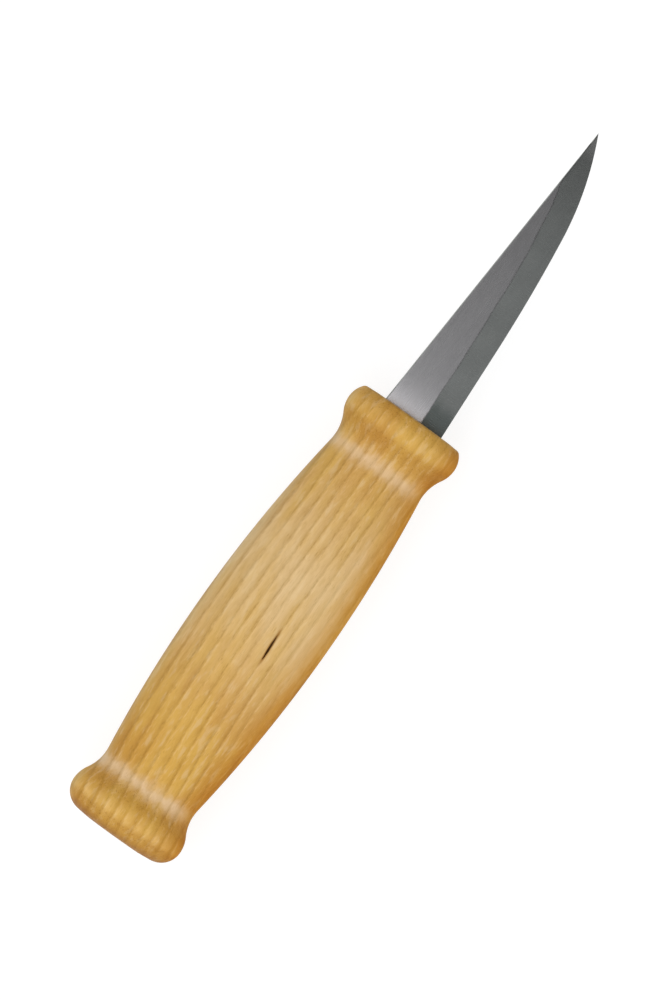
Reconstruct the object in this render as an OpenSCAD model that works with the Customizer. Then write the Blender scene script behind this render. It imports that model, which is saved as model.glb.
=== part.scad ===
// A wood carving knife: an oval barrel handle of oiled birch, and a short laminated steel blade
// whose stick tang is glued into a bore in the wood. Nothing on it moves.
// The knife lies on its side. X runs from the butt to the tip, Y from the cutting edge to the spine,
// and Z goes up through the blade's thickness. The origin is on the floor under mid length.
// All sizes are in millimetres and all angles in degrees.

/* [Handle] */
// Length of the handle from the butt to the front face
handle_length = 108; // [100:1:120]
// Width of the barrel at its fullest, in the plane of the blade
barrel_width = 28.3; // [27:0.1:31]
// Thickness of the barrel at its fullest, across the plane of the blade
barrel_thickness = 23; // [20:0.5:26]
// Radius of the long curve that runs along the barrel
barrel_curve = 302; // [270:1:360]

/* [Butt bead] */
// Width over the bead at the butt end
butt_bead_width = 27.4; // [26:0.1:30]
// Distance from the butt face to the crest of the butt bead
butt_bead_reach = 5; // [4:0.1:6]
// Radius from the crest of the butt bead towards the neck
butt_bead_radius = 7; // [5:0.1:8]
// Radius of the hollow neck behind the butt bead
butt_neck_radius = 9.3; // [7:0.1:12]
// Radius of the flat in the middle of the butt
butt_flat_radius = 7; // [5:0.1:8]
// Radius of the low dome round the flat of the butt
butt_dome = 80; // [60:1:120]

/* [Front bead] */
// Width over the bead at the front end
front_bead_width = 27.2; // [26:0.1:30]
// Distance from the front face to the crest of the front bead
front_bead_reach = 4; // [3.2:0.1:4.6]
// Radius from the crest of the front bead towards the neck
front_bead_radius = 6.6; // [5:0.1:8]
// Radius from the crest of the front bead towards the front face
front_nose_radius = 5.4; // [5:0.1:6.5]
// Radius of the softened rim of the front face
front_rim_radius = 1.2; // [0.6:0.1:1.6]
// Radius of the hollow neck behind the front bead
front_neck_radius = 9.8; // [7:0.1:12]
// Radius of the flat in the middle of the front face, in which the slot opens
front_flat_radius = 9.2; // [8.8:0.1:9.6]
// Radius of the low dome round the flat of the front face
front_dome = 150; // [110:1:200]

/* [Blade] */
// Length of the blade from the front face to the tip
blade_length = 71.5; // [60:0.5:85]
// Thickness of the blade, all layers together
blade_thickness = 2.2; // [1.8:0.1:3]
// Thickness of the hard layer in the middle of the blade
core_thickness = 0.7; // [0.4:0.1:1]
// Height of the spine above the handle's axis, at the front face
spine_rise = 7; // [6:0.1:7.6]
// Depth of the cutting edge below the handle's axis, at the front face
edge_drop = 7.35; // [6.4:0.05:7.8]
// Angle by which the spine comes down towards the tip
spine_taper = 3; // [2:0.1:4]
// Angle by which the straight part of the edge comes up towards the tip
edge_taper = 3.1; // [2.2:0.1:4.2]
// Radius of the long slow curve of the edge
sweep_radius = 362; // [300:1:420]
// Radius of the belly that brings the edge up to the tip
belly_radius = 72.2; // [60:0.2:84]
// Width of the ground bevel, from the edge to its shoulder
bevel_width = 5.1; // [4:0.1:6.5]

/* [Tang] */
// Depth to which the full width of the blade is sunk in the handle
seat_depth = 8; // [5:0.5:10]
// Length of the tang behind the front face
tang_length = 82; // [60:1:90]
// Width of the tang at the seat
tang_root_width = 8; // [7:0.1:9]
// Width of the tang near its end
tang_end_width = 5; // [4:0.1:6]
// Size of the corners cut off the tang's end
tang_end_cut = 1.2; // [0.6:0.1:1.6]
// Clearance all round the blade in its slot
slot_clearance = 0.15; // [0.05:0.05:0.3]
// Thickness of adhesive left round the tang's widest corners
glue_gap = 0.6; // [0.3:0.1:1]
// Length of the glue pocket beyond the tang's end
glue_pocket = 3; // [1:0.5:5]
// Depth of the adhesive in the slot behind the front face
glue_recess = 0.5; // [0.2:0.1:2]

/* [Hidden] */
$fn = 96;
// Steps along a dome, a short curve and half of the long curve of the handle's outline
dome_steps = 4;
short_steps = 8;
long_steps = 7;
// Share of each end's flat that its dome covers before the end is faced off
dome_share = 0.5;
// Fragments in a full circle of the blade's long curves
sweep_fragments = 1440;
// How far a cutting shape runs on past the face it cuts
overcut = 1;
// Where the knife lies
butt_x = -(handle_length + blade_length) / 2;
axis_height = barrel_thickness / 2;
oval = barrel_thickness / barrel_width;

// Centres of the handle's curves, as [distance from the butt, distance from the axis]
barrel_centre = [handle_length / 2, barrel_width / 2 - barrel_curve];
butt_half = butt_bead_width / 2;
butt_bead_centre = [butt_bead_reach, butt_half - butt_bead_radius];
butt_dome_centre = [sqrt(butt_dome * butt_dome - butt_flat_radius * butt_flat_radius), 0];
butt_dome_depth = butt_dome_centre.x - butt_bead_reach;
butt_round_radius = (butt_dome * butt_dome - butt_half * butt_half - butt_dome_depth * butt_dome_depth)
    / (2 * (butt_dome - butt_half));
butt_round_centre = [butt_bead_reach, butt_half - butt_round_radius];
butt_neck_centre = crossing(
    butt_bead_centre, butt_bead_radius + butt_neck_radius,
    barrel_centre, barrel_curve + butt_neck_radius
);
front_half = front_bead_width / 2;
front_crest = handle_length - front_bead_reach;
front_bead_centre = [front_crest, front_half - front_bead_radius];
front_nose_centre = [front_crest, front_half - front_nose_radius];
front_dome_centre = [
    handle_length - sqrt(front_dome * front_dome - front_flat_radius * front_flat_radius), 0
];
front_rim_centre = crossing(
    front_nose_centre, front_nose_radius - front_rim_radius,
    front_dome_centre, front_dome - front_rim_radius, -1
);
front_neck_centre = crossing(
    barrel_centre, barrel_curve + front_neck_radius,
    front_bead_centre, front_bead_radius + front_neck_radius
);

// Angle through which the slow curve turns: its sine and cosine are short decimals, so that the
// ground runs meet with no rounding between them
sweep_turn = asin(0.07584);
// The blade's tip and the run of its edge, from the front face and the handle's axis
tip = [blade_length, spine_rise - blade_length * tan(spine_taper)];
tip_reach = turned(tip + [0, edge_drop], -edge_taper);
tip_turn = acos(cos(sweep_turn) - (tip_reach.y - sweep_radius * (1 - cos(sweep_turn))) / belly_radius);
straight_length = tip_reach.x - sweep_radius * sin(sweep_turn)
    - belly_radius * (sin(tip_turn) - sin(sweep_turn));
// Angle by which the belly's grind runs on past the tip
tip_overrun = 4;
// Share of the slow curve covered from each of its ends, so that the two runs overlap
sweep_share = 0.6;
// How far in from the edge the ground section reaches, past the spine
grind_depth = spine_rise + edge_drop + overcut;

// The tang's bore and the slot's floor, from the butt
bore_diameter = norm([tang_root_width, blade_thickness]) + 2 * glue_gap;
slot_floor = handle_length - seat_depth - slot_clearance;
bore_floor = handle_length - tang_length - glue_pocket;

// The point turned about the origin by an angle
function turned(point, angle) = [
    point.x * cos(angle) - point.y * sin(angle),
    point.x * sin(angle) + point.y * cos(angle)
];

// Where the circle of radius ra about a meets that of radius rb about b, left of the way from a to b
function crossing(a, ra, b, rb, side = 1) =
    let (gap = norm(b - a))
    let (along = (gap * gap + ra * ra - rb * rb) / (2 * gap))
    let (across = sqrt(ra * ra - along * along))
    let (way = (b - a) / gap)
    a + along * way + side * across * [-way.y, way.x];

// The direction from one point to another
function bearing(from, to) = atan2(to.y - from.y, to.x - from.x);

// Points along an arc, without its last one, which is the first of the next arc
function arc(centre, radius, from, to, steps) = [
    for (i = [0 : steps - 1])
        let (angle = from + (to - from) * i / steps)
            centre + radius * [cos(angle), sin(angle)]
];

// The handle's outline from the butt to the front: arcs that run into each other
handle_outline = concat(
    arc(butt_dome_centre, butt_dome,
        180 - asin(dome_share * butt_flat_radius / butt_dome),
        bearing(butt_dome_centre, butt_round_centre), dome_steps),
    arc(butt_round_centre, butt_round_radius,
        bearing(butt_dome_centre, butt_round_centre), 90, short_steps),
    arc(butt_bead_centre, butt_bead_radius,
        90, bearing(butt_bead_centre, butt_neck_centre), short_steps),
    arc(butt_neck_centre, butt_neck_radius,
        bearing(butt_neck_centre, butt_bead_centre), bearing(butt_neck_centre, barrel_centre), short_steps),
    arc(barrel_centre, barrel_curve,
        bearing(barrel_centre, butt_neck_centre), 90, long_steps),
    arc(barrel_centre, barrel_curve,
        90, bearing(barrel_centre, front_neck_centre), long_steps),
    arc(front_neck_centre, front_neck_radius,
        bearing(front_neck_centre, barrel_centre), bearing(front_neck_centre, front_bead_centre), short_steps),
    arc(front_bead_centre, front_bead_radius,
        bearing(front_bead_centre, front_neck_centre), 90, short_steps),
    arc(front_nose_centre, front_nose_radius,
        90, bearing(front_nose_centre, front_rim_centre), short_steps),
    arc(front_rim_centre, front_rim_radius,
        bearing(front_nose_centre, front_rim_centre), bearing(front_dome_centre, front_rim_centre), short_steps),
    arc(front_dome_centre, front_dome,
        bearing(front_dome_centre, front_rim_centre),
        asin(dome_share * front_flat_radius / front_dome), dome_steps)
);

// The half of the blank on the spine's side: the outline turned about the axis and flattened to an oval
module half_blank() {
    last = len(handle_outline) - 1;
    section = concat(
        [[0, handle_outline[0].x]],
        [for (point = handle_outline) [point.y, point.x]],
        [[0, handle_outline[last].x]]
    );
    scale([1, 1, oval])
        rotate([0, 90, 0])
            rotate_extrude(angle = 180)
                polygon(section);
}

// Both halves of the blank, faced off square at the butt and at the front
module handle_blank() {
    intersection() {
        union() {
            half_blank();
            mirror([0, 1, 0])
                half_blank();
        }
        translate([0, -barrel_width, -barrel_width])
            cube([handle_length, 2 * barrel_width, 2 * barrel_width]);
    }
}

// The slot that takes the full width of the blade's root, from its floor to a distance from the butt
module blade_slot(end) {
    slot_half = blade_thickness / 2 + slot_clearance;
    translate([slot_floor, -edge_drop - slot_clearance, -slot_half])
        cube([end - slot_floor, edge_drop + spine_rise + 2 * slot_clearance, 2 * slot_half]);
}

// The round bore behind the slot
module tang_bore() {
    translate([bore_floor, 0, 0])
        rotate([0, 90, 0])
            cylinder(d = bore_diameter, h = slot_floor - bore_floor);
}

// Ground section of the edge, as [distance in from the edge, height], drawn to twice the blade's thickness
function grind_section() = [
    [0, 0],
    [2 * bevel_width, blade_thickness],
    [grind_depth, blade_thickness],
    [grind_depth, -blade_thickness],
    [2 * bevel_width, -blade_thickness]
];

// Ground section drawn along the straight edge, back from its end
module straight_run() {
    run = straight_length + seat_depth + overcut;
    translate([-run, 0, 0])
        rotate([90, 0, 90])
            linear_extrude(height = run)
                polygon(grind_section());
}

// Ground section drawn along a curve of the edge, on from its start
module curved_run(radius, turn) {
    translate([0, radius, 0])
        rotate([0, 0, -90])
            rotate_extrude(angle = turn, $fn = sweep_fragments)
                polygon([for (point = grind_section()) [radius - point.x, point.y]]);
}

// Everything that the two ground bevels leave: the straight edge, the slow curve and the belly
module grind() {
    translate([0, -edge_drop, 0])
        rotate([0, 0, edge_taper])
            translate([straight_length, 0, 0]) {
                straight_run();
                curved_run(sweep_radius, sweep_turn * sweep_share);
                translate([0, sweep_radius, 0])
                    rotate([0, 0, sweep_turn])
                        translate([0, -sweep_radius, 0]) {
                            mirror([1, 0, 0])
                                curved_run(sweep_radius, sweep_turn * sweep_share);
                            curved_run(belly_radius, tip_turn - sweep_turn + tip_overrun);
                        }
            }
}

// The blade's side view without its edge: the spine, and the root with parallel sides
module blade_side() {
    end = blade_length + overcut;
    polygon([
        [-seat_depth, -edge_drop],
        [end, -edge_drop],
        [end, spine_rise - end * tan(spine_taper)],
        [0, spine_rise],
        [-seat_depth, spine_rise]
    ]);
}

// The tang's side view, with a lap that runs into the blade's root
module tang_side() {
    lap = seat_depth / 2;
    polygon([
        [-seat_depth + lap, -tang_root_width / 2],
        [-seat_depth + lap, tang_root_width / 2],
        [-seat_depth, tang_root_width / 2],
        [-tang_length + tang_end_cut, tang_end_width / 2],
        [-tang_length, tang_end_width / 2 - tang_end_cut],
        [-tang_length, -tang_end_width / 2 + tang_end_cut],
        [-tang_length + tang_end_cut, -tang_end_width / 2],
        [-seat_depth, -tang_root_width / 2]
    ]);
}

// One layer of the blade and its tang, between two heights through the thickness
module blade_layer(low, high) {
    translate([handle_length, 0, 0]) {
        intersection() {
            grind();
            translate([0, 0, low])
                linear_extrude(height = high - low)
                    blade_side();
        }
        translate([0, 0, low])
            linear_extrude(height = high - low)
                tang_side();
    }
}

// Places what is drawn from the butt along the handle's axis
module lying() {
    translate([butt_x, 0, axis_height])
        children();
}

// Birch handle
module handle() {
    color("burlywood")
        lying()
            difference() {
                handle_blank();
                blade_slot(handle_length + overcut);
                tang_bore();
            }
}

// Hard steel in the middle of the blade, which carries the edge
module blade_core() {
    color("silver")
        lying()
            blade_layer(-core_thickness / 2, core_thickness / 2);
}

// Softer steel on the left of the blade, underneath as the knife lies
module blade_cladding_left() {
    color("darkgray")
        lying()
            blade_layer(-blade_thickness / 2, -core_thickness / 2);
}

// Softer steel on the right of the blade, uppermost as the knife lies
module blade_cladding_right() {
    color("darkgray")
        lying()
            blade_layer(core_thickness / 2, blade_thickness / 2);
}

// Cured adhesive that fills the bore round the tang and the slot round the blade's root
module tang_adhesive() {
    color("peru")
        lying()
            difference() {
                union() {
                    tang_bore();
                    blade_slot(handle_length - glue_recess);
                }
                blade_layer(-blade_thickness / 2, blade_thickness / 2);
            }
}

handle();
blade_core();
blade_cladding_left();
blade_cladding_right();
tang_adhesive();
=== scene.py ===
import cmath
import math

import bmesh
import bpy
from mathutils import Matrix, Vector


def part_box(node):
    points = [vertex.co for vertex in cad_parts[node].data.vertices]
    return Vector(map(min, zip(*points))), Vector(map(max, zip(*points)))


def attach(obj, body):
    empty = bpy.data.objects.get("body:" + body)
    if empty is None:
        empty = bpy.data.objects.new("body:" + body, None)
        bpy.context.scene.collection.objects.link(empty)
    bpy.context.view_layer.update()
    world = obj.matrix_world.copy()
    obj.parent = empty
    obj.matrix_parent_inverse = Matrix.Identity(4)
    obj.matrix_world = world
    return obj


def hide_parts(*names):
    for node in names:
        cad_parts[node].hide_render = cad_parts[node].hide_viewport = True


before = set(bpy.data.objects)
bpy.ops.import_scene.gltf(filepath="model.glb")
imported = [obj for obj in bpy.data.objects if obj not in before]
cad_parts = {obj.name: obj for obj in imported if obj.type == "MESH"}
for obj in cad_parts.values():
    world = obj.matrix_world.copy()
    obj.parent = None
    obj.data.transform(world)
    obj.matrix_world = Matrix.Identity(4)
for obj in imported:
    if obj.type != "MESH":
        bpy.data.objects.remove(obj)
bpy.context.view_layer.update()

MM = 0.001

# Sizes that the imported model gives
handle_low, handle_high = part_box("handle")
core_low, core_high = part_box("blade_core")
left_low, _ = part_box("blade_cladding_left")
_, right_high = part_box("blade_cladding_right")
HANDLE_LENGTH = (handle_high.x - handle_low.x) / MM
BARREL_WIDTH = (handle_high.y - handle_low.y) / MM
BARREL_THICKNESS = (handle_high.z - handle_low.z) / MM
AXIS_HEIGHT = (handle_high.z + handle_low.z) / 2 / MM
BLADE_LENGTH = (core_high.x - handle_high.x) / MM
BLADE_THICKNESS = (right_high.z - left_low.z) / MM
CORE_THICKNESS = (core_high.z - core_low.z) / MM
TANG_LENGTH = (handle_high.x - core_low.x) / MM
SPINE_RISE = core_high.y / MM
EDGE_DROP = -core_low.y / MM
OVAL = BARREL_THICKNESS / BARREL_WIDTH

# Curves of the handle's outline
BARREL_CURVE = 302.0
BUTT_BEAD_HALF = 13.7
BUTT_BEAD_REACH = 5.0
BUTT_BEAD_RADIUS = 7.0
BUTT_NECK_RADIUS = 9.3
BUTT_FLAT_RADIUS = 7.0
BUTT_DOME = 80.0
FRONT_BEAD_HALF = 13.6
FRONT_BEAD_REACH = 4.0
FRONT_BEAD_RADIUS = 6.6
FRONT_NOSE_RADIUS = 5.4
FRONT_RIM_RADIUS = 1.2
FRONT_NECK_RADIUS = 9.8
FRONT_FLAT_RADIUS = 9.2
FRONT_DOME = 150.0

# Curves and grind of the blade
SPINE_TAPER = math.radians(3.0)
EDGE_TAPER = math.radians(3.1)
SWEEP_RADIUS = 362.0
SWEEP_TURN = math.asin(0.07584)
BELLY_RADIUS = 72.2
BEVEL_WIDTH = 5.1
ROOT_FLARE = 0.2
ROOT_FLARE_RUN = 16.0
SHOULDER_SOFTNESS = 0.16
SPINE_SOFTNESS = 0.22
SPINE_SHARE_OF_HEIGHT = 0.45
SPINE_SHARE_OF_COVER = 0.9
EDGE_LAND = 0.02
LEAST_CLADDING = 0.002

# Waves that the grinder leaves along the bevel: swing, run and start
GRIND_WAVES = ((0.07, 3.7, 0.6), (0.045, 1.55, 2.0))

# Seat of the blade and of its tang
SEAT_DEPTH = 8.0
SLOT_CLEARANCE = 0.15
SLOT_MOUTH = 0.2
TANG_ROOT_HALF = 4.0
TANG_END_HALF = 2.5
TANG_END_CUT = 1.2
TANG_LAP = 4.0
TANG_EASE = 0.004
GLUE_GAP = 0.6
GLUE_POCKET = 3.0

# Places along the handle that are burnished pale and carry a painted highlight
BUTT_CREST_X = 4.3
BUTT_NECK_X = 12.0
WEAR_AND_HIGHLIGHT_X = 63.5
FRONT_NECK_X = 95.2
FRONT_CREST_X = 104.7
NECK_BAND = 1.75
WEAR_AND_HIGHLIGHT_BAND = 23.0
BUTT_CREST_BAND = 2.1
FRONT_CREST_BAND = 1.9
NECK_RAGGEDNESS = 3.6
FRONT_NECK_SHARE = 0.85
FRONT_CREST_SHARE = 0.5

# Where a look of the handle comes in: from a distance or a slope without it to one with all of it
BUTT_BEAD_FADE = (11.0, 7.0)
FRONT_BEAD_FADE = (97.0, 101.0)
TOP_FADE = (1.5, 5.0)
UPPER_SIDE_FADE = (-7.0, 3.0)
EDGE_SIDE_FADE = (-0.48, -1.0)
SPINE_SIDE_FADE = (0.75, 1.0)
REAR_SLOPE_FADE = (-0.05, -0.45)
BUTT_FACE_FADE = (-0.5, -0.95)
END_GRAIN_FADE = (0.1, 0.4)
END_GRAIN_RAGGEDNESS = 0.24

# Growth rings and the drying check
RING_GAP = 2.5
RING_BOW = 8.9e-4
RING_BOW_MIDDLE = 70.0
HEAVY_RING = 11.2
HEAVY_RING_BAND = 1.6
RING_DRIFT = 0.9
RING_JAG = 0.34
RING_FUZZ = 0.2
LATE_WOOD_STOPS = (
    (0.0, 0.65),
    (0.1, 0.0),
    (0.35, 0.1),
    (0.62, 0.38),
    (0.8, 0.7),
    (0.9, 1.0),
    (1.0, 0.65),
)
RING_LINE_STOPS = ((0.0, 0.4), (0.06, 0.0), (0.78, 0.0), (0.92, 1.0), (1.0, 0.4))
EARLY_WOOD_STOPS = ((0.0, 0.0), (0.12, 1.0), (0.22, 0.5), (0.4, 0.0))
FADED_RINGS = (-5.0, -10.0)
FADED_SHARE = 0.65
BEAD_RING_LOSS = 0.45
CHECK_START = 48.3
CHECK_END = 54.7
CHECK_RING = -3.44
CHECK_TILT = 0.18
CHECK_HALF_WIDTH = 0.21
CHECK_DEPTH = 0.5
CHECK_LEAST_SHARE = 0.04
CHECK_SKEW = 0.58
CHECK_FULLNESS = 0.8
CHECK_WANDER = 0.02
CHECK_WANDER_RATE = 31
CHECK_RAGGEDNESS = 0.16
CHECK_RAGGED_RATE = 23
CHECK_STAIN_AND_SHADE_HALF_WIDTH = 0.32
CHECK_STAIN_AND_SHADE_REACH = 1.9
CHECK_RIM_FADE = (1.7, 0.8)
CHECK_SHADE_FADE = (1.05, 0.4)

# Colours of the birch; the pale neck and crest colours and the pale middle are partly painted
# highlight, and the check's dark is painted shade
GOLDEN = (0.695, 0.405, 0.079, 1.0)
HONEY = (0.63, 0.33, 0.052, 1.0)
BARE_WOOD = (0.83, 0.615, 0.34, 1.0)
PALE_NECK_WEAR_AND_HIGHLIGHT = (0.83, 0.59, 0.355, 1.0)
PALE_CREST_WEAR_AND_HIGHLIGHT = (0.86, 0.55, 0.19, 1.0)
PALE_STREAK = (0.88, 0.65, 0.33, 1.0)
PALE_FLECK = (0.78, 0.56, 0.24, 1.0)
CHECK_PAINTED_SHADE = (0.1, 0.045, 0.012, 1.0)

# Tints that darken the birch; those of the rear slope, butt face and edge side are painted shade, and
# that of the spine side is a painted cool light
PATCH_TINT = (0.92, 0.89, 0.8, 1.0)
LATE_WOOD_TINT = (0.78, 0.725, 0.59, 1.0)
RING_LINE_TINT = (0.7, 0.62, 0.48, 1.0)
HEAVY_RING_TINT = (0.82, 0.78, 0.66, 1.0)
FIBRE_TINT = (0.88, 0.84, 0.76, 1.0)
PORE_TINT = (0.7, 0.6, 0.46, 1.0)
END_GRAIN_TINT = (0.95, 0.92, 0.86, 1.0)
REAR_SLOPE_PAINTED_SHADE = (0.81, 0.77, 0.66, 1.0)
BUTT_FACE_PAINTED_SHADE = (0.72, 0.63, 0.62, 1.0)
SPECK_TINT = (0.66, 0.52, 0.36, 1.0)
EDGE_SIDE_PAINTED_SHADE = (0.8, 0.57, 0.15, 1.0)
SPINE_SIDE_PAINTED_COOL_LIGHT = (0.81, 0.855, 0.9, 1.0)
CHECK_RIM_TINT = (0.62, 0.5, 0.36, 1.0)

# Colours of the steel, painted reflections on it, and tints that darken it
FLAT_TONE = (0.38, 0.376, 0.384, 1.0)
CLADDING_BEVEL_TONE = (0.4, 0.42, 0.41, 1.0)
CORE_BEVEL_TONE = (0.395, 0.415, 0.405, 1.0)
PAINTED_ROOT_REFLECTION = (0.86, 0.84, 0.87, 1.0)
PAINTED_TIP_REFLECTION = (0.6, 0.61, 0.6, 1.0)
PAINTED_SHOULDER_GLINT = (0.8, 0.8, 0.8, 1.0)
CLOUD_TINT = (0.86, 0.86, 0.87, 1.0)
SCRATCH_TINT = (0.84, 0.84, 0.84, 1.0)
DULL_ROOT_TINT = (0.6, 0.64, 0.63, 1.0)
SPINE_LINE_TINT = (0.5, 0.5, 0.46, 1.0)

# Where a look of the steel comes in, in front of the handle, behind the tip or by the slope
BEVEL_TILT = (0.992, 0.983)
ROOT_REFLECTION_RATE = -0.35
ROOT_REFLECTION_START = 0.14
DULL_ROOT_FADE = (7.0, 3.0)
DULL_ROOT_RAGGEDNESS = 4.0
TIP_REFLECTION_FADE = (7.0, 2.5)
SPINE_LINE_FADE = (0.4, 0.15)

# Gloss and relief
BIRCH_ROUGHNESS = 0.44
BIRCH_SHINE = 0.22
BIRCH_RELIEF = 0.03
BIRCH_BUMP = 0.35
STEEL_ROUGHNESS = 0.235
STEEL_RELIEF = 0.01
STEEL_BUMP = 0.025
RESIN_RELIEF = 0.05
RESIN_BUMP = 0.4

# Colours of the adhesive
DARK_RESIN = (0.5, 0.36, 0.17, 1.0)
LIGHT_RESIN = (0.66, 0.52, 0.28, 1.0)
BUBBLE_TINT = (0.8, 0.76, 0.7, 1.0)

# Colours of the studio
WHITE = (1.0, 1.0, 1.0, 1.0)
PLAIN_FLOOR = (0.8, 0.8, 0.8, 1.0)
SHADOW_FLOOR = (0.3, 0.3, 0.3, 1.0)

# Fineness of the meshes
WELD_DISTANCE = 0.0005
OUTLINE_STEP = 0.32
LEAST_ARC_STEPS = 8
ROUND_STEPS = 224
BORE_STEPS = 48
CHECK_STEPS = 36
CHECK_ROUND_STEPS = 12
BLADE_STEP = 0.55
BELLY_FINENESS = 2
SEAT_STEPS = 4
SEAT_MARGIN = 1.0
CORE_STEPS = 6
BEVEL_STEPS = 7
SHOULDER_STEPS = 14
FLAT_STEPS = 9
SPINE_STEPS = 7
SHOULDER_BAND = 0.14 + 1.6 * SHOULDER_SOFTNESS
SPINE_BAND = 1.05 * SPINE_SOFTNESS
LEAST_SPINE_START = 0.8

# Angles in degrees over which two faces meet in a hard line
HANDLE_SHARP_ANGLE = 38
CORE_SHARP_ANGLE = 6
CLADDING_SHARP_ANGLE = 24


def placed(x, y, z):
    """A point from the butt, the axis and mid thickness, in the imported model's frame."""
    return Vector((x * MM + handle_low.x, y * MM, (z + AXIS_HEIGHT) * MM))


def spread(first, last, count):
    """Even values from first to last, both included."""
    return [first + (last - first) * i / count for i in range(count + 1)]


# Handle


def crossing(a, radius_a, b, radius_b, side=1):
    """Where two circles meet, left of the way from a to b."""
    gap = abs(b - a)
    along = (gap**2 + radius_a**2 - radius_b**2) / (2 * gap)
    across = math.sqrt(radius_a**2 - along**2)
    return a + (b - a) / gap * complex(along, side * across)


def arc(centre, radius, start, end):
    """Points along an arc, without its last one."""
    count = max(LEAST_ARC_STEPS, math.ceil(abs(end - start) * radius / OUTLINE_STEP))
    return [centre + cmath.rect(radius, angle) for angle in spread(start, end, count)[:-1]]


def handle_outline():
    """The handle's outline as distances from the butt and from the axis, in arcs that run on."""
    up = math.pi / 2
    barrel = complex(HANDLE_LENGTH / 2, BARREL_WIDTH / 2 - BARREL_CURVE)
    butt_bead = complex(BUTT_BEAD_REACH, BUTT_BEAD_HALF - BUTT_BEAD_RADIUS)
    butt_dome = complex(math.sqrt(BUTT_DOME**2 - BUTT_FLAT_RADIUS**2), 0)
    dome_depth = butt_dome.real - BUTT_BEAD_REACH
    dome_excess = BUTT_DOME**2 - BUTT_BEAD_HALF**2 - dome_depth**2
    butt_round_radius = dome_excess / (2 * (BUTT_DOME - BUTT_BEAD_HALF))
    butt_round = complex(BUTT_BEAD_REACH, BUTT_BEAD_HALF - butt_round_radius)
    butt_neck = crossing(
        butt_bead, BUTT_BEAD_RADIUS + BUTT_NECK_RADIUS, barrel, BARREL_CURVE + BUTT_NECK_RADIUS
    )
    front_crest = HANDLE_LENGTH - FRONT_BEAD_REACH
    front_bead = complex(front_crest, FRONT_BEAD_HALF - FRONT_BEAD_RADIUS)
    front_nose = complex(front_crest, FRONT_BEAD_HALF - FRONT_NOSE_RADIUS)
    front_dome = complex(HANDLE_LENGTH - math.sqrt(FRONT_DOME**2 - FRONT_FLAT_RADIUS**2), 0)
    front_rim = crossing(
        front_nose, FRONT_NOSE_RADIUS - FRONT_RIM_RADIUS, front_dome, FRONT_DOME - FRONT_RIM_RADIUS, -1
    )
    front_neck = crossing(
        barrel, BARREL_CURVE + FRONT_NECK_RADIUS, front_bead, FRONT_BEAD_RADIUS + FRONT_NECK_RADIUS
    )

    def bearing(a, b):
        return cmath.phase(b - a)

    butt_flat_end = complex(0, BUTT_FLAT_RADIUS)
    front_flat_end = complex(HANDLE_LENGTH, FRONT_FLAT_RADIUS)
    butt_turn = bearing(butt_dome, butt_round)
    rim_turn = bearing(front_nose, front_rim)
    face_turn = bearing(front_dome, front_rim)
    runs = (
        (butt_dome, BUTT_DOME, bearing(butt_dome, butt_flat_end), butt_turn),
        (butt_round, butt_round_radius, butt_turn, up),
        (butt_bead, BUTT_BEAD_RADIUS, up, bearing(butt_bead, butt_neck)),
        (butt_neck, BUTT_NECK_RADIUS, bearing(butt_neck, butt_bead), bearing(butt_neck, barrel)),
        (barrel, BARREL_CURVE, bearing(barrel, butt_neck), up),
        (barrel, BARREL_CURVE, up, bearing(barrel, front_neck)),
        (front_neck, FRONT_NECK_RADIUS, bearing(front_neck, barrel), bearing(front_neck, front_bead)),
        (front_bead, FRONT_BEAD_RADIUS, bearing(front_bead, front_neck), up),
        (front_nose, FRONT_NOSE_RADIUS, up, rim_turn),
        (front_rim, FRONT_RIM_RADIUS, rim_turn, face_turn),
        (front_dome, FRONT_DOME, face_turn, bearing(front_dome, front_flat_end)),
    )
    points = [point for run in runs for point in arc(*run)]
    points.append(front_flat_end)
    return points


def mesh_object(name, points, faces):
    """A new object from points in the frame and faces, welded and with its faces turned outwards."""
    mesh = bpy.data.meshes.new(name)
    mesh.from_pydata(points, [], faces)
    work = bmesh.new()
    work.from_mesh(mesh)
    bmesh.ops.remove_doubles(work, verts=work.verts, dist=WELD_DISTANCE * MM)
    bmesh.ops.dissolve_degenerate(work, edges=work.edges, dist=WELD_DISTANCE * MM)
    bmesh.ops.recalc_face_normals(work, faces=work.faces)
    work.to_mesh(mesh)
    work.free()
    thing = bpy.data.objects.new(name, mesh)
    bpy.context.scene.collection.objects.link(thing)
    return thing


def lofted(name, loops):
    """A closed object from loops of as many points each, with its two ends filled."""
    size = len(loops[0])
    points = [point for loop in loops for point in loop]
    faces = []
    for i in range(len(loops) - 1):
        for j in range(size):
            k = (j + 1) % size
            faces.append((i * size + j, i * size + k, (i + 1) * size + k, (i + 1) * size + j))
    faces.append(tuple(range(size)))
    faces.append(tuple(range(len(points) - size, len(points))))
    return mesh_object(name, points, faces)


def combined(thing, others, operation):
    """Cuts the others from a thing, or joins them to it, and removes them."""
    for other in others:
        modifier = thing.modifiers.new(operation.lower(), "BOOLEAN")
        modifier.operation = operation
        modifier.solver = "EXACT"
        modifier.object = other
    graph = bpy.context.evaluated_depsgraph_get()
    result = bpy.data.meshes.new_from_object(thing.evaluated_get(graph))
    thing.modifiers.clear()
    plain = thing.data
    thing.data = result
    bpy.data.meshes.remove(plain)
    result.name = thing.name
    for other in others:
        bpy.data.meshes.remove(other.data)
    return thing


def softened(thing, sharp_angle):
    """Smooth shading, with a hard line wherever two faces meet at more than the angle."""
    thing.data.shade_smooth()
    thing.data.set_sharp_from_angle(angle=math.radians(sharp_angle))
    return thing


def oval_loop(x, radius):
    """A loop round the handle's axis."""
    turns = spread(0, 2 * math.pi, ROUND_STEPS)[:-1]
    return [placed(x, radius * math.cos(turn), OVAL * radius * math.sin(turn)) for turn in turns]


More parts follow.
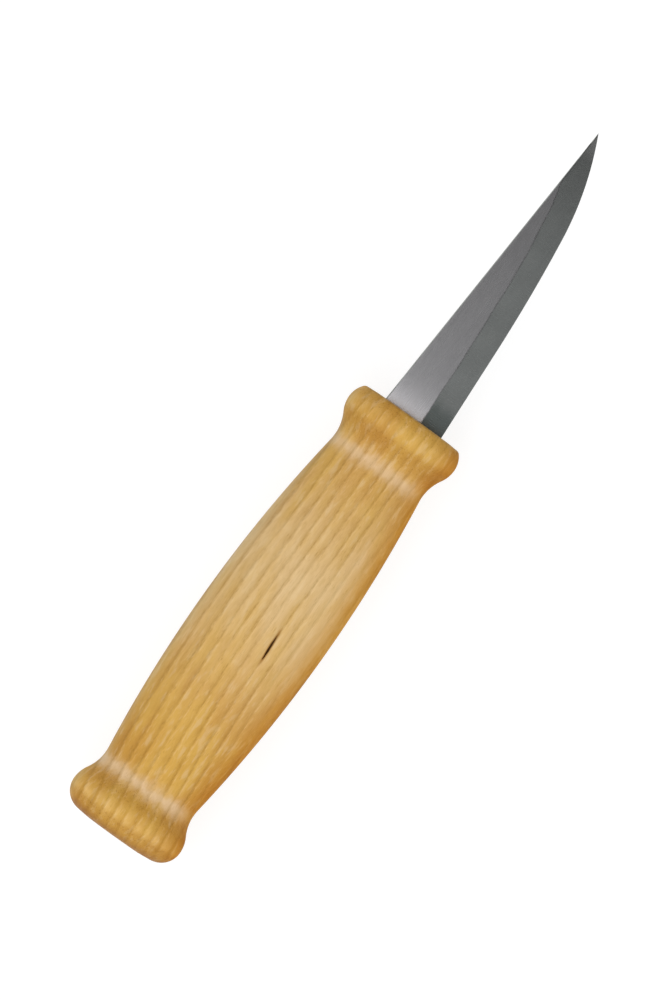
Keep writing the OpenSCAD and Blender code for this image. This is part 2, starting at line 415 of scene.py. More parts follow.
def slot_loop(x, ease):
    """The slot's opening at a distance from the butt, widened by an ease."""
    low = -EDGE_DROP - SLOT_CLEARANCE - ease
    high = SPINE_RISE + SLOT_CLEARANCE + ease
    half = BLADE_THICKNESS / 2 + SLOT_CLEARANCE + ease
    corners = ((low, -half), (high, -half), (high, half), (low, half))
    return [placed(x, y, z) for y, z in corners]


def bore_loop(x):
    """The bore for the tang at a distance from the butt."""
    radius = math.hypot(2 * TANG_ROOT_HALF, BLADE_THICKNESS) / 2 + GLUE_GAP
    turns = spread(0, 2 * math.pi, BORE_STEPS)[:-1]
    return [placed(x, radius * math.cos(turn), radius * math.sin(turn)) for turn in turns]


def check_loops():
    """A thin spindle along one growth ring at the top of the barrel, which opens the drying check."""
    loops = []
    turns = spread(0, 2 * math.pi, CHECK_ROUND_STEPS)[:-1]
    for share in spread(0.0, 1.0, CHECK_STEPS):
        x = CHECK_START + (CHECK_END - CHECK_START) * share
        y = CHECK_RING - RING_BOW * (x - RING_BOW_MIDDLE) ** 2
        y += CHECK_TILT * (share - 0.5) + CHECK_WANDER * math.sin(CHECK_WANDER_RATE * share)
        swell = math.sin(math.pi * share**CHECK_SKEW) ** CHECK_FULLNESS
        bulge = CHECK_LEAST_SHARE + (1 - CHECK_LEAST_SHARE) * swell
        ragged = 1 + CHECK_RAGGEDNESS * math.sin(CHECK_RAGGED_RATE * share)
        half_width = CHECK_HALF_WIDTH * bulge * ragged
        depth = CHECK_DEPTH * bulge
        radius = BARREL_WIDTH / 2 - (x - HANDLE_LENGTH / 2) ** 2 / (2 * BARREL_CURVE)
        top = OVAL * math.sqrt(radius**2 - y**2)
        loops.append(
            [placed(x, y + half_width * math.cos(turn), top + depth * math.sin(turn)) for turn in turns]
        )
    return loops


def build_handle():
    loops = [oval_loop(point.real, point.imag) for point in handle_outline()]
    handle = lofted("birch_handle", loops)
    slot_floor = HANDLE_LENGTH - SEAT_DEPTH - SLOT_CLEARANCE
    bore_floor = HANDLE_LENGTH - TANG_LENGTH - GLUE_POCKET
    slot = lofted(
        "slot",
        [
            slot_loop(slot_floor, 0),
            slot_loop(HANDLE_LENGTH - SLOT_MOUTH, 0),
            slot_loop(HANDLE_LENGTH + SLOT_MOUTH, 2 * SLOT_MOUTH),
        ],
    )
    bore = lofted("bore", [bore_loop(bore_floor), bore_loop(slot_floor + SLOT_CLEARANCE)])
    check = lofted("check", check_loops())
    return softened(combined(handle, [slot, bore, check], "DIFFERENCE"), HANDLE_SHARP_ANGLE)


# Blade


def blade_curves():
    """The edge's straight length, its turn at the tip and its belly's centre, along its own line."""
    tip = complex(BLADE_LENGTH, SPINE_RISE - BLADE_LENGTH * math.tan(SPINE_TAPER))
    reach = (tip + 1j * EDGE_DROP) * cmath.rect(1, -EDGE_TAPER)
    rise = reach.imag - SWEEP_RADIUS * (1 - math.cos(SWEEP_TURN))
    tip_turn = math.acos(math.cos(SWEEP_TURN) - rise / BELLY_RADIUS)
    straight = reach.real - SWEEP_RADIUS * math.sin(SWEEP_TURN)
    straight -= BELLY_RADIUS * (math.sin(tip_turn) - math.sin(SWEEP_TURN))
    gap = SWEEP_RADIUS - BELLY_RADIUS
    belly_x = straight + gap * math.sin(SWEEP_TURN)
    belly_y = SWEEP_RADIUS - gap * math.cos(SWEEP_TURN)
    return straight, tip_turn, complex(belly_x, belly_y)


STRAIGHT_LENGTH, TIP_TURN, BELLY_CENTRE = blade_curves()
SWEEP_CENTRE = complex(STRAIGHT_LENGTH, SWEEP_RADIUS)
EDGE_START = complex(0, -EDGE_DROP)


def edge_distance(point):
    """How far a point of the blade's side lies in from the cutting edge."""
    local = (point - EDGE_START) * cmath.rect(1, -EDGE_TAPER)
    if local.real <= STRAIGHT_LENGTH:
        return local.imag
    from_sweep = local - SWEEP_CENTRE
    if math.atan2(from_sweep.real, -from_sweep.imag) <= SWEEP_TURN:
        return SWEEP_RADIUS - abs(from_sweep)
    return BELLY_RADIUS - abs(local - BELLY_CENTRE)


def spine_height(x):
    """Height of the spine over the axis, at a distance in front of the handle."""
    return SPINE_RISE - max(x, 0) * math.tan(SPINE_TAPER)


def bevel_slope(x):
    """Rise of the bevel, which the grinder leaves a little uneven along the blade."""
    width = BEVEL_WIDTH
    for swing, run, start in GRIND_WAVES:
        width += swing * math.sin(x / run + start)
    width += ROOT_FLARE * math.exp(-max(x, 0) / ROOT_FLARE_RUN)
    return (BLADE_THICKNESS - EDGE_LAND) / 2 / width


def half_height(point):
    """Half of the blade's thickness at a point of its side, with soft shoulder and spine."""
    full = BLADE_THICKNESS / 2
    slope = bevel_slope(point.real)
    ground = EDGE_LAND / 2 + slope * max(edge_distance(point), 0)
    soft = SHOULDER_SOFTNESS * slope
    height = min(ground, full)
    if abs(ground - full) < soft:
        height = full - (ground - full - soft) ** 2 / (4 * soft)
    gap = (spine_height(point.real) - point.imag) * math.cos(SPINE_TAPER)
    cover = abs(height - CORE_THICKNESS / 2)
    radius = min(SPINE_SOFTNESS, SPINE_SHARE_OF_HEIGHT * height, SPINE_SHARE_OF_COVER * cover)
    if gap < radius:
        lost = radius - max(gap, 0)
        height -= radius - math.sqrt(max(radius**2 - lost**2, 0))
    return height


def edge_stations():
    """Points of the edge from the seat to the tip, with the direction across the blade there."""
    line = cmath.rect(1, EDGE_TAPER)
    stations = [(complex(x, -EDGE_DROP), 1j) for x in spread(-SEAT_DEPTH, -SEAT_MARGIN, SEAT_STEPS)]
    count = math.ceil(STRAIGHT_LENGTH / BLADE_STEP)
    for along in spread(0.0, STRAIGHT_LENGTH, count)[:-1]:
        stations.append((EDGE_START + along * line, 1j))
    count = math.ceil(SWEEP_RADIUS * SWEEP_TURN / BLADE_STEP)
    for turn in spread(0.0, SWEEP_TURN, count)[:-1]:
        local = SWEEP_CENTRE - 1j * cmath.rect(SWEEP_RADIUS, turn)
        stations.append((EDGE_START + local * line, 1j * cmath.rect(1, turn)))
    count = math.ceil(BELLY_FINENESS * BELLY_RADIUS * (TIP_TURN - SWEEP_TURN) / BLADE_STEP)
    for turn in spread(SWEEP_TURN, TIP_TURN, count):
        local = BELLY_CENTRE - 1j * cmath.rect(BELLY_RADIUS, turn)
        stations.append((EDGE_START + local * line, 1j * cmath.rect(1, turn)))
    return stations


def station_crossing(edge, way):
    """Distance from the edge to the spine along the crossing direction."""
    if edge.real <= 0:
        return SPINE_RISE - edge.imag
    fall = math.tan(SPINE_TAPER)
    return max((SPINE_RISE - edge.real * fall - edge.imag) / (way.imag + way.real * fall), 0)


def crossing_columns(start, width):
    """Distances across the blade at one station: bevel, soft shoulder, flat and soft spine."""
    spine = max(width - SPINE_BAND, start + LEAST_SPINE_START * (width - start))
    low = min(max(BEVEL_WIDTH - SHOULDER_BAND, start), spine)
    high = min(max(BEVEL_WIDTH + SHOULDER_BAND, start), spine)
    columns = spread(start, low, BEVEL_STEPS)[:-1]
    columns += spread(low, high, SHOULDER_STEPS)[:-1]
    columns += spread(high, spine, FLAT_STEPS)[:-1]
    columns += spread(spine, width, SPINE_STEPS)
    return columns


def plate(name, grid, top, bottom):
    """A closed plate over a grid of points of the blade's side, between two heights at each point."""
    rows = len(grid)
    size = len(grid[0])
    points = []
    for heights in (top, bottom):
        for i in range(rows):
            for j in range(size):
                point = grid[i][j]
                points.append(placed(HANDLE_LENGTH + point.real, point.imag, heights[i][j]))
    under = rows * size
    faces = []
    for i in range(rows - 1):
        for j in range(size - 1):
            a = i * size + j
            faces.append((a, a + 1, a + size + 1, a + size))
            faces.append((under + a, under + a + size, under + a + size + 1, under + a + 1))
        for j in (0, size - 1):
            a = i * size + j
            faces.append((a, a + size, under + a + size, under + a))
    for i in (0, rows - 1):
        for j in range(size - 1):
            a = i * size + j
            faces.append((a, a + 1, under + a + 1, under + a))
    return mesh_object(name, points, faces)


def tang_prism(low, high):
    """The tang's part of one layer, with a lap that runs into the blade's root."""
    near = -SEAT_DEPTH + TANG_LAP
    far = -TANG_LENGTH
    half = [
        (near, TANG_ROOT_HALF),
        (-SEAT_DEPTH, TANG_ROOT_HALF),
        (far + TANG_END_CUT, TANG_END_HALF),
        (far, TANG_END_HALF - TANG_END_CUT),
    ]
    side = half + [(x, -y) for x, y in reversed(half)]
    return lofted("tang", [[placed(HANDLE_LENGTH + x, y, z) for x, y in side] for z in (low, high)])


def layer_start(edge):
    """How far in from the edge the core ends on the bevel and the cladding starts."""
    return (CORE_THICKNESS - EDGE_LAND) / 2 / bevel_slope(edge.real) - edge_distance(edge)


def core_grid():
    """The grid of the core's side view, with a column where the cladding starts."""
    grid = []
    for edge, way in edge_stations():
        reach = station_crossing(edge, way)
        start = min(layer_start(edge), reach)
        columns = spread(0.0, start, CORE_STEPS)[:-1] + spread(start, reach, CORE_STEPS)
        grid.append([edge + way * across for across in columns])
    return grid


def cladding_grid():
    """The grid of a cladding's side view, from where it starts on the bevel to the spine."""
    grid = []
    for edge, way in edge_stations():
        reach = station_crossing(edge, way)
        start = layer_start(edge)
        if reach < start:
            break
        grid.append([edge + way * across for across in crossing_columns(start, reach)])
    return grid


def build_core():
    half = CORE_THICKNESS / 2
    grid = core_grid()
    top = [[min(half_height(point), half) for point in row] for row in grid]
    bottom = [[-height for height in row] for row in top]
    core = plate("core_layer", grid, top, bottom)
    tang = tang_prism(-half + TANG_EASE, half - TANG_EASE)
    return softened(combined(core, [tang], "UNION"), CORE_SHARP_ANGLE)


def build_cladding(name, side):
    low = CORE_THICKNESS / 2
    grid = cladding_grid()
    outer = []
    for row in grid:
        heights = [max(half_height(point), low + LEAST_CLADDING) for point in row[1:]]
        outer.append([side * height for height in [low] + heights])
    inner = [[side * low] * len(row) for row in grid]
    cladding = plate(name, grid, outer, inner)
    heights = sorted((side * (low + TANG_EASE), side * (BLADE_THICKNESS / 2 - TANG_EASE)))
    return softened(combined(cladding, [tang_prism(*heights)], "UNION"), CLADDING_SHARP_ANGLE)


# Materials


class Graph:
    """A node tree filled by short calls; a value is a number, a colour or another node's socket."""

    def __init__(self, tree):
        tree.nodes.clear()
        self.tree = tree

    def add(self, kind, values, **settings):
        node = self.tree.nodes.new(kind)
        for name, setting in settings.items():
            setattr(node, name, setting)
        for key, value in values.items():
            if isinstance(value, bpy.types.NodeSocket):
                self.tree.links.new(value, node.inputs[key])
            else:
                node.inputs[key].default_value = value
        return node

    def math(self, operation, *values):
        return self.add("ShaderNodeMath", dict(enumerate(values)), operation=operation).outputs[0]

    def total(self, *values):
        result = values[0]
        for value in values[1:]:
            result = self.math("ADD", result, value)
        return result

    def product(self, *values):
        result = values[0]
        for value in values[1:]:
            result = self.math("MULTIPLY", result, value)
        return result

    def rest(self, share):
        """What a share leaves of one."""
        return self.math("SUBTRACT", 1.0, share)

    def swing(self, noise, amount):
        """A noise from zero to one, turned into a swing of that amount about zero."""
        return self.math("MULTIPLY_ADD", noise, amount, -amount / 2)

    def remap(self, value, low, high, to_low=0.0, to_high=1.0):
        """Runs smoothly from to_low, at low and beyond it, to to_high at high."""
        values = {
            "Value": value,
            "From Min": low,
            "From Max": high,
            "To Min": to_low,
            "To Max": to_high,
        }
        return self.add("ShaderNodeMapRange", values, interpolation_type="SMOOTHSTEP").outputs[0]

    def bell(self, value, middle, width):
        """One at the middle, and falling away to both sides over the width."""
        offset = self.math("DIVIDE", self.math("SUBTRACT", value, middle), width)
        return self.math("EXPONENT", self.product(offset, offset, -1.0))

    def noise(self, place, scale, detail=2.0, roughness=0.5):
        """Noise with its own scale along each axis."""
        stretch = {0: place, 1: scale}
        stretched = self.add("ShaderNodeVectorMath", stretch, operation="MULTIPLY").outputs[0]
        values = {"Vector": stretched, "Scale": 1.0, "Detail": detail, "Roughness": roughness}
        return self.add("ShaderNodeTexNoise", values).outputs[0]

    def ramp(self, value, stops):
        """Runs through the stops, each a position and a level."""
        node = self.add("ShaderNodeValToRGB", {0: value})
        elements = node.color_ramp.elements
        while len(elements) < len(stops):
            elements.new(1.0)
        for element, (position, level) in zip(elements, stops):
            element.position = position
            element.color = (level, level, level, 1.0)
        return node.outputs[0]

    def mix(self, share, first, second, blend="MIX"):
        values = {0: share, 6: first, 7: second}
        return self.add("ShaderNodeMix", values, data_type="RGBA", blend_type=blend).outputs[2]

    def shade(self, share, colour, tint):
        """A colour times a tint, for a share of the tint."""
        return self.mix(share, colour, tint, "MULTIPLY")

    def bump(self, height, strength, distance):
        values = {"Height": height, "Strength": strength, "Distance": distance}
        return self.add("ShaderNodeBump", values).outputs[0]


def new_material(name):
    material = bpy.data.materials.new(name)
    material.use_nodes = True
    return material, Graph(material.node_tree)


def finished(graph, values):
    """Closes a material with one principled shader."""
    shader = graph.add("ShaderNodeBsdfPrincipled", values)
    graph.add("ShaderNodeOutputMaterial", {"Surface": shader.outputs[0]})


def millimetres(graph):
    """Places on the surface from the butt, the axis and mid thickness, and their three parts."""
    place = graph.add("ShaderNodeTexCoord", {}).outputs["Object"]
    values = {
        "Vector": place,
        "Location": (-handle_low.x / MM, 0.0, -AXIS_HEIGHT),
        "Scale": (1 / MM, 1 / MM, 1 / MM),
    }
    scaled = graph.add("ShaderNodeMapping", values).outputs[0]
    return scaled, graph.add("ShaderNodeSeparateXYZ", {0: scaled}).outputs


def birch_material():
    """Oiled birch with growth rings along the handle, rubbed and burnished by use, with painted
    highlights and painted shade.
    """
    material, g = new_material("oiled_birch")
    place, (x, y, z) = millimetres(g)
    normal = g.add("ShaderNodeTexCoord", {}).outputs["Normal"]
    forwards, side, _ = g.add("ShaderNodeSeparateXYZ", {0: normal}).outputs
    along = g.math("ABSOLUTE", forwards)

    # Growth rings: late wood darkens towards a thin ragged line, and the next ring starts pale
    from_middle = g.math("SUBTRACT", x, RING_BOW_MIDDLE)
    bow = g.product(from_middle, from_middle, RING_BOW)
    level = g.math("ADD", y, bow)
    drift = g.noise(place, (0.018, 0.11, 0.11), detail=1.0)
    jag = g.noise(place, (0.36, 1.3, 1.3), detail=4.0, roughness=0.6)
    fuzz = g.noise(place, (1.1, 3.0, 3.0), roughness=0.6)
    ring = g.total(
        g.math("DIVIDE", g.math("SUBTRACT", CHECK_RING, level), RING_GAP),
        g.swing(drift, RING_DRIFT),
        g.swing(jag, RING_JAG),
        g.swing(fuzz, RING_FUZZ),
    )
    phase = g.math("FRACT", ring)
    late = g.ramp(phase, LATE_WOOD_STOPS)
    core = g.ramp(phase, RING_LINE_STOPS)
    early = g.ramp(phase, EARLY_WOOD_STOPS)
    gaps = g.noise(place, (0.06, 0.42, 0.42), detail=3.0, roughness=0.6)
    broken = g.remap(gaps, 0.32, 0.6, 0.35, 1.0)
    on_top = g.remap(z, *TOP_FADE)
    faded = g.rest(g.product(on_top, g.remap(level, *FADED_RINGS, 0.0, FADED_SHARE)))
    on_beads = g.math("ADD", g.remap(x, *BUTT_BEAD_FADE), g.remap(x, *FRONT_BEAD_FADE))
    off_beads = g.math("MULTIPLY_ADD", on_beads, -BEAD_RING_LOSS, 1.0)
    line = g.product(late, broken, faded, off_beads)
    dots = g.noise(place, (0.9, 4.0, 4.0), roughness=0.6)
    dash = g.product(core, faded, g.remap(dots, 0.5, 0.64))
    strokes = g.noise(place, (0.35, 2.2, 2.2), roughness=0.6)
    streak = g.product(early, g.remap(strokes, 0.48, 0.66))
    heavy = g.product(g.bell(level, HEAVY_RING, HEAVY_RING_BAND), broken)

    # Fibres, flecks, slow changes of colour, and end grain, which takes up more oil
    fibre = g.noise(place, (0.16, 9.0, 9.0), detail=3.0, roughness=0.65)
    fleck = g.remap(g.noise(place, (0.7, 5.0, 5.0), roughness=0.6), 0.58, 0.72)
    pore = g.remap(g.noise(place, (0.5, 7.0, 7.0), detail=1.0), 0.66, 0.74)
    blotch = g.noise(place, (0.05, 0.16, 0.16), detail=3.0, roughness=0.6)
    mottle = g.noise(place, (0.45, 0.6, 0.6), detail=3.0, roughness=0.6)
    patch = g.noise(place, (0.22, 0.75, 0.75), roughness=0.55)
    ragged_slope = g.math("ADD", along, g.swing(mottle, END_GRAIN_RAGGEDNESS))
    end_grain = g.remap(ragged_slope, *END_GRAIN_FADE)
    speck = g.product(end_grain, g.remap(g.noise(place, (2.4, 3.6, 3.6), detail=1.0), 0.6, 0.7))

    # Paler where sanding or the hand has burnished the wood, with a painted highlight over it: each
    # neck, each bead's crest, middle of the barrel
    ragged_x = g.math("ADD", x, g.swing(mottle, NECK_RAGGEDNESS))
    butt_neck = g.bell(ragged_x, BUTT_NECK_X, NECK_BAND)
    front_neck = g.bell(ragged_x, FRONT_NECK_X, NECK_BAND)
    neck_wear_and_highlight = g.math("MULTIPLY_ADD", front_neck, FRONT_NECK_SHARE, butt_neck)
    worn_and_highlight = g.product(g.bell(x, WEAR_AND_HIGHLIGHT_X, WEAR_AND_HIGHLIGHT_BAND), g.remap(blotch, 0.3, 0.6, 0.45, 0.9))
    butt_crest = g.bell(x, BUTT_CREST_X, BUTT_CREST_BAND)
    front_crest = g.bell(x, FRONT_CREST_X, FRONT_CREST_BAND)
    crest_wear_and_highlight = g.math("MULTIPLY_ADD", front_crest, FRONT_CREST_SHARE, butt_crest)
    crest_wear_and_highlight = g.product(crest_wear_and_highlight, g.rest(late), g.remap(mottle, 0.35, 0.65, 0.3, 1.0))
    upper_side = g.product(g.remap(z, *UPPER_SIDE_FADE), g.remap(mottle, 0.3, 0.6, 0.85, 1.0))
    # painted shade along the edge side
    edge_side_shade = g.product(g.remap(side, *EDGE_SIDE_FADE), upper_side)
    # painted cool light along the spine side
    spine_side_cool_light = g.product(g.remap(side, *SPINE_SIDE_FADE), upper_side)

    # Paler and darker places, some of them painted highlight and painted shade, laid over each other
    colour = g.mix(g.remap(blotch, 0.36, 0.64), GOLDEN, HONEY)
    # painted highlight in the middle of the barrel, over wood that use has burnished
    colour = g.mix(g.product(worn_and_highlight, 0.85), colour, BARE_WOOD)
    colour = g.mix(g.remap(patch, 0.52, 0.7, 0.0, 0.36), colour, BARE_WOOD)
    colour = g.shade(g.remap(patch, 0.48, 0.3, 0.0, 0.75), colour, PATCH_TINT)
    # painted highlight across each neck, over burnished wood
    colour = g.mix(g.product(neck_wear_and_highlight, 0.85), colour, PALE_NECK_WEAR_AND_HIGHLIGHT)
    # painted highlight along each bead's crest, over burnished wood
    colour = g.mix(g.product(crest_wear_and_highlight, 0.6), colour, PALE_CREST_WEAR_AND_HIGHLIGHT)
    colour = g.mix(g.product(streak, 0.3), colour, PALE_STREAK)
    colour = g.shade(line, colour, LATE_WOOD_TINT)
    colour = g.shade(g.product(dash, 0.45), colour, RING_LINE_TINT)
    colour = g.shade(g.product(heavy, 0.4), colour, HEAVY_RING_TINT)
    colour = g.shade(g.remap(fibre, 0.35, 0.7, 0.0, 0.5), colour, FIBRE_TINT)
    colour = g.mix(g.product(fleck, 0.22), colour, PALE_FLECK)
    colour = g.shade(g.product(pore, 0.5), colour, PORE_TINT)
    colour = g.shade(end_grain, colour, END_GRAIN_TINT)
    # painted shade on slopes that face the butt, and more of it on the butt's face
    colour = g.shade(g.remap(forwards, *REAR_SLOPE_FADE), colour, REAR_SLOPE_PAINTED_SHADE)
    colour = g.shade(g.remap(forwards, *BUTT_FACE_FADE), colour, BUTT_FACE_PAINTED_SHADE)
    colour = g.shade(g.product(speck, 0.6), colour, SPECK_TINT)
    # painted shade on the edge side
    colour = g.shade(edge_side_shade, colour, EDGE_SIDE_PAINTED_SHADE)
    # painted cool light on the spine side
    colour = g.shade(spine_side_cool_light, colour, SPINE_SIDE_PAINTED_COOL_LIGHT)

    # The drying check is dark inside, as painted shade, and has a stained rim
    check_length = CHECK_END - CHECK_START
    check_share = g.math("DIVIDE", g.math("SUBTRACT", x, CHECK_START), check_length)
    check_line = g.math("MULTIPLY_ADD", check_share, CHECK_TILT, CHECK_RING - CHECK_TILT / 2)
    check_y = g.math("SUBTRACT", check_line, bow)
    across = g.math("DIVIDE", g.math("SUBTRACT", y, check_y), CHECK_STAIN_AND_SHADE_HALF_WIDTH)
    lengthways = g.swing(check_share, CHECK_STAIN_AND_SHADE_REACH)
    from_check = g.math("SQRT", g.total(g.product(across, across), g.product(lengthways, lengthways)))
    upper = g.math("GREATER_THAN", z, 0.0)
    rim = g.product(g.remap(from_check, *CHECK_RIM_FADE), upper)
    check_shade = g.product(g.remap(from_check, *CHECK_SHADE_FADE), upper)
    colour = g.shade(rim, colour, CHECK_RIM_TINT)
    # painted shade inside the check
    colour = g.mix(check_shade, colour, CHECK_PAINTED_SHADE)

    # Duller on the edge side, at the check and on the end grain; fibres, lines and pores in relief
    dull = g.math("MAXIMUM", g.product(edge_side_shade, 0.36), g.product(rim, 0.45))
    roughness = g.total(BIRCH_ROUGHNESS, g.product(fibre, 0.14), g.product(end_grain, 0.1), dull)
    height = g.total(g.product(fibre, 0.5), g.product(line, -0.35), g.product(pore, -0.4))
    finished(
        g,
        {
            "Base Color": colour,
            "Roughness": roughness,
            "Specular IOR Level": BIRCH_SHINE,
            "Normal": g.bump(height, BIRCH_BUMP, BIRCH_RELIEF * MM),
        },
    )
    return material


def steel_material(name, bevel_tone):
    """Satin steel: rolled along the blade on the flats and ground across it on the bevels, with painted
    reflections at the root, tip and shoulder.
    """
    material, g = new_material(name)
    place, (x, y, _) = millimetres(g)
    ahead = g.math("SUBTRACT", x, HANDLE_LENGTH)
    rolled = g.noise(place, (0.12, 11.0, 3.0), detail=3.0, roughness=0.7)
    ground = g.noise(place, (9.0, 0.35, 0.35), detail=3.0, roughness=0.7)
    cloud = g.noise(place, (0.07, 0.3, 0.3), detail=3.0, roughness=0.6)
    smear = g.noise(place, (0.5, 1.6, 1.6), detail=3.0, roughness=0.6)
    normal = g.add("ShaderNodeTexCoord", {}).outputs["Normal"]
    tilt = g.math("ABSOLUTE", g.add("ShaderNodeSeparateXYZ", {0: normal}).outputs[2])
    bevel = g.remap(tilt, *BEVEL_TILT)
    scratch = g.mix(bevel, rolled, ground)
    # painted reflection, strongest at the blade's root
    root = g.math("EXPONENT", g.math("MULTIPLY_ADD", ahead, ROOT_REFLECTION_RATE, ROOT_REFLECTION_START))
    root = g.math("MINIMUM", root, 1.0)
    flat_root_reflection = g.product(root, g.rest(bevel))
    ragged_ahead = g.math("ADD", ahead, g.swing(cloud, DULL_ROOT_RAGGEDNESS))
    dull_root = g.remap(ragged_ahead, *DULL_ROOT_FADE)
    behind_tip = g.math("SUBTRACT", BLADE_LENGTH, ahead)
    tip = g.remap(behind_tip, *TIP_REFLECTION_FADE)
    shoulder = g.product(bevel, g.rest(bevel), 4.0)
    spine_y = g.math("MULTIPLY_ADD", ahead, -math.tan(SPINE_TAPER), SPINE_RISE)
    to_spine = g.math("SUBTRACT", spine_y, y)
    glint = g.product(shoulder, g.remap(ground, 0.45, 0.7, 0.1, 0.6))
    smeared = g.remap(smear, 0.35, 0.65, 0.0, g.remap(bevel, 0.0, 1.0, 0.4, 0.25))
    spine_line = g.remap(to_spine, *SPINE_LINE_FADE, 0.0, g.remap(rolled, 0.3, 0.6, 0.2, 0.8))

    # Brighter and duller places, laid over each other; the brighter root, tip and shoulder are painted
    # reflection
    colour = g.mix(bevel, FLAT_TONE, bevel_tone)
    colour = g.shade(g.remap(cloud, 0.3, 0.7, 0.0, 0.35), colour, CLOUD_TINT)
    colour = g.shade(g.remap(scratch, 0.35, 0.65, 0.0, 0.07), colour, SCRATCH_TINT)
    colour = g.shade(smeared, colour, SCRATCH_TINT)
    # painted reflection on the flats near the handle
    colour = g.mix(flat_root_reflection, colour, PAINTED_ROOT_REFLECTION)
    colour = g.shade(g.product(dull_root, bevel), colour, DULL_ROOT_TINT)
    # painted reflection on the bevel at the tip
    colour = g.mix(g.product(tip, bevel, 0.9), colour, PAINTED_TIP_REFLECTION)
    # painted glint along the shoulder
    colour = g.mix(glint, colour, PAINTED_SHOULDER_GLINT)
    colour = g.shade(spine_line, colour, SPINE_LINE_TINT)
    roughness = g.total(STEEL_ROUGHNESS, g.product(scratch, 0.06))
    finished(
        g,
        {
            "Base Color": colour,
            "Metallic": 1.0,
            "Roughness": roughness,
            "Normal": g.bump(scratch, STEEL_BUMP, STEEL_RELIEF * MM),
        },
    )
    return material


def adhesive_material():
    """Clouded resin with small bubbles."""
    material, g = new_material("cured_adhesive")
    place, _ = millimetres(g)
    cloud = g.noise(place, (0.4, 0.4, 0.4), detail=3.0, roughness=0.6)
    bubble = g.remap(g.noise(place, (2.5, 2.5, 2.5), detail=1.0), 0.62, 0.7)
    colour = g.mix(cloud, DARK_RESIN, LIGHT_RESIN)
    colour = g.shade(bubble, colour, BUBBLE_TINT)
    finished(
        g,
        {
            "Base Color": colour,
            "Roughness": g.remap(cloud, 0.2, 0.8, 0.3, 0.5),
            "Normal": g.bump(bubble, RESIN_BUMP, RESIN_RELIEF * MM),
        },
    )
    return material


# Studio


def build_world():
    """A soft studio: a broad pale dome behind the handle, dim walls in front, a dim patch overhead."""
    dim_light = 0.054
    wall_light = 0.2
    wall_fade = (0.45, 0.02)
    front_light = 0.3
    front_fade = (0.2, 0.7)
    front_middle = 0.42
    front_band = 0.2
    dome_light = 1.22
    dome_fade = (0.9, -0.05)
    overhead = (0.22, -0.18, 0.959)
    overhead_fade = (0.3, 0.55)
    world = bpy.data.worlds.new("studio")
    bpy.context.scene.world = world
    world.use_nodes = True
    g = Graph(world.node_tree)
    way = g.add("ShaderNodeTexCoord", {}).outputs["Generated"]
    ahead, sideways, up = g.add("ShaderNodeSeparateXYZ", {0: way}).outputs
    low_wall = g.remap(up, *wall_fade, dim_light, wall_light)
    front_share = g.product(g.remap(ahead, *front_fade), g.bell(up, front_middle, front_band))
    front_wall = g.product(front_share, front_light)
    gap = g.add("ShaderNodeVectorMath", {0: way, 1: overhead}, operation="DISTANCE").outputs[1]
    dome = g.product(
        g.remap(gap, *overhead_fade),
        g.remap(ahead, *dome_fade),
        g.remap(sideways, -0.7, 0.7, 1.2, 1.0),
        g.remap(up, 0.0, 0.35, 0.1, 1.0),
        dome_light,
    )
    strength = g.total(low_wall, front_wall, dome)
    light = g.add("ShaderNodeBackground", {"Color": WHITE, "Strength": strength})
    g.add("ShaderNodeOutputWorld", {"Surface": light.outputs[0]})


def build_overhead():
    """A small soft box over the handle, which the blade's root reflects and its tip hardly does."""
    width = 0.16
    length = 0.3
    glow = 0.9
    place = (-0.057, 0.08, 0.42)
    lamp = bpy.data.lights.new("overhead", "AREA")
    lamp.shape = "RECTANGLE"
    lamp.size = width
    lamp.size_y = length
    lamp.energy = glow * math.pi * width * length
    holder = bpy.data.objects.new("overhead", lamp)
    holder.location = place
    holder.visible_camera = False
    bpy.context.scene.collection.objects.link(holder)


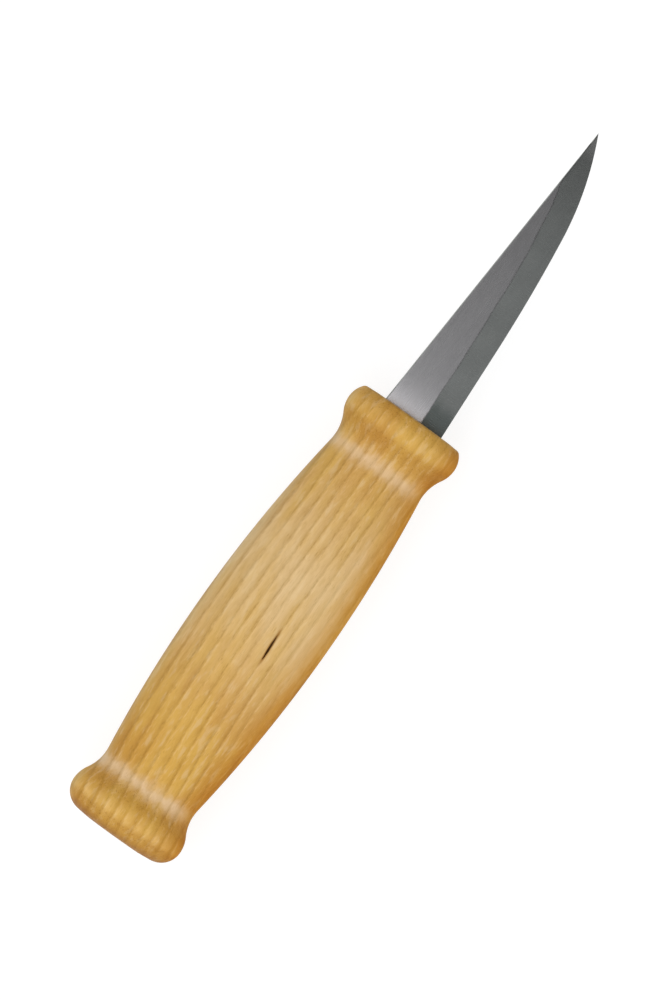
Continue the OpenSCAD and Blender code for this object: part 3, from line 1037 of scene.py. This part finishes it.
def build_floor():
    """A plain floor that looks white to the camera and in the steel, and keeps the knife's shadow."""
    half = 8.0
    floor_glow = 0.8
    mesh = bpy.data.meshes.new("floor")
    corners = [(-half, -half, 0.0), (half, -half, 0.0), (half, half, 0.0), (-half, half, 0.0)]
    mesh.from_pydata(corners, [], [(0, 1, 2, 3)])
    floor = bpy.data.objects.new("floor", mesh)
    bpy.context.scene.collection.objects.link(floor)
    material, g = new_material("white_floor")
    rays = g.add("ShaderNodeLightPath", {}).outputs
    seen = g.math("MAXIMUM", rays["Is Camera Ray"], rays["Is Glossy Ray"])
    seen = g.math("MAXIMUM", seen, rays["Is Transmission Ray"])
    plain = g.add("ShaderNodeBsdfDiffuse", {"Color": PLAIN_FLOOR})
    dimmed = g.add("ShaderNodeBsdfDiffuse", {"Color": SHADOW_FLOOR})
    glow = g.add("ShaderNodeEmission", {"Color": WHITE, "Strength": floor_glow})
    bright = g.add("ShaderNodeAddShader", {0: dimmed.outputs[0], 1: glow.outputs[0]})
    surface = g.add("ShaderNodeMixShader", {0: seen, 1: plain.outputs[0], 2: bright.outputs[0]})
    g.add("ShaderNodeOutputMaterial", {"Surface": surface.outputs[0]})
    mesh.materials.append(material)


def build_camera():
    """Looks straight down on the knife, which points up and to the right in the picture."""
    frame_height = 0.2104
    distance = 3.0
    sensor_height = 36.0
    aim_x = -5.504
    aim_y = 3.459
    turn = -54.28
    camera = bpy.data.cameras.new("camera")
    camera.sensor_fit = "VERTICAL"
    camera.sensor_height = sensor_height
    camera.lens = sensor_height * distance / frame_height
    holder = bpy.data.objects.new("camera", camera)
    holder.location = (aim_x * MM, aim_y * MM, AXIS_HEIGHT * MM + distance)
    holder.rotation_euler = (0.0, 0.0, math.radians(turn))
    bpy.context.scene.collection.objects.link(holder)
    bpy.context.scene.camera = holder


def dressed(piece, node, material):
    """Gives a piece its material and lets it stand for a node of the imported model."""
    piece.data.materials.clear()
    piece.data.materials.append(material)
    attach(piece, "root")
    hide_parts(node)


bpy.context.scene.view_settings.view_transform = "Standard"
build_world()
build_overhead()
build_floor()
build_camera()

cladding_steel = steel_material("cladding_steel", CLADDING_BEVEL_TONE)
core_steel = steel_material("core_steel", CORE_BEVEL_TONE)
dressed(build_handle(), "handle", birch_material())
dressed(build_core(), "blade_core", core_steel)
dressed(build_cladding("left_cladding", -1), "blade_cladding_left", cladding_steel)
dressed(build_cladding("right_cladding", 1), "blade_cladding_right", cladding_steel)
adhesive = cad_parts["tang_adhesive"]
adhesive.data.materials.clear()
adhesive.data.materials.append(adhesive_material())
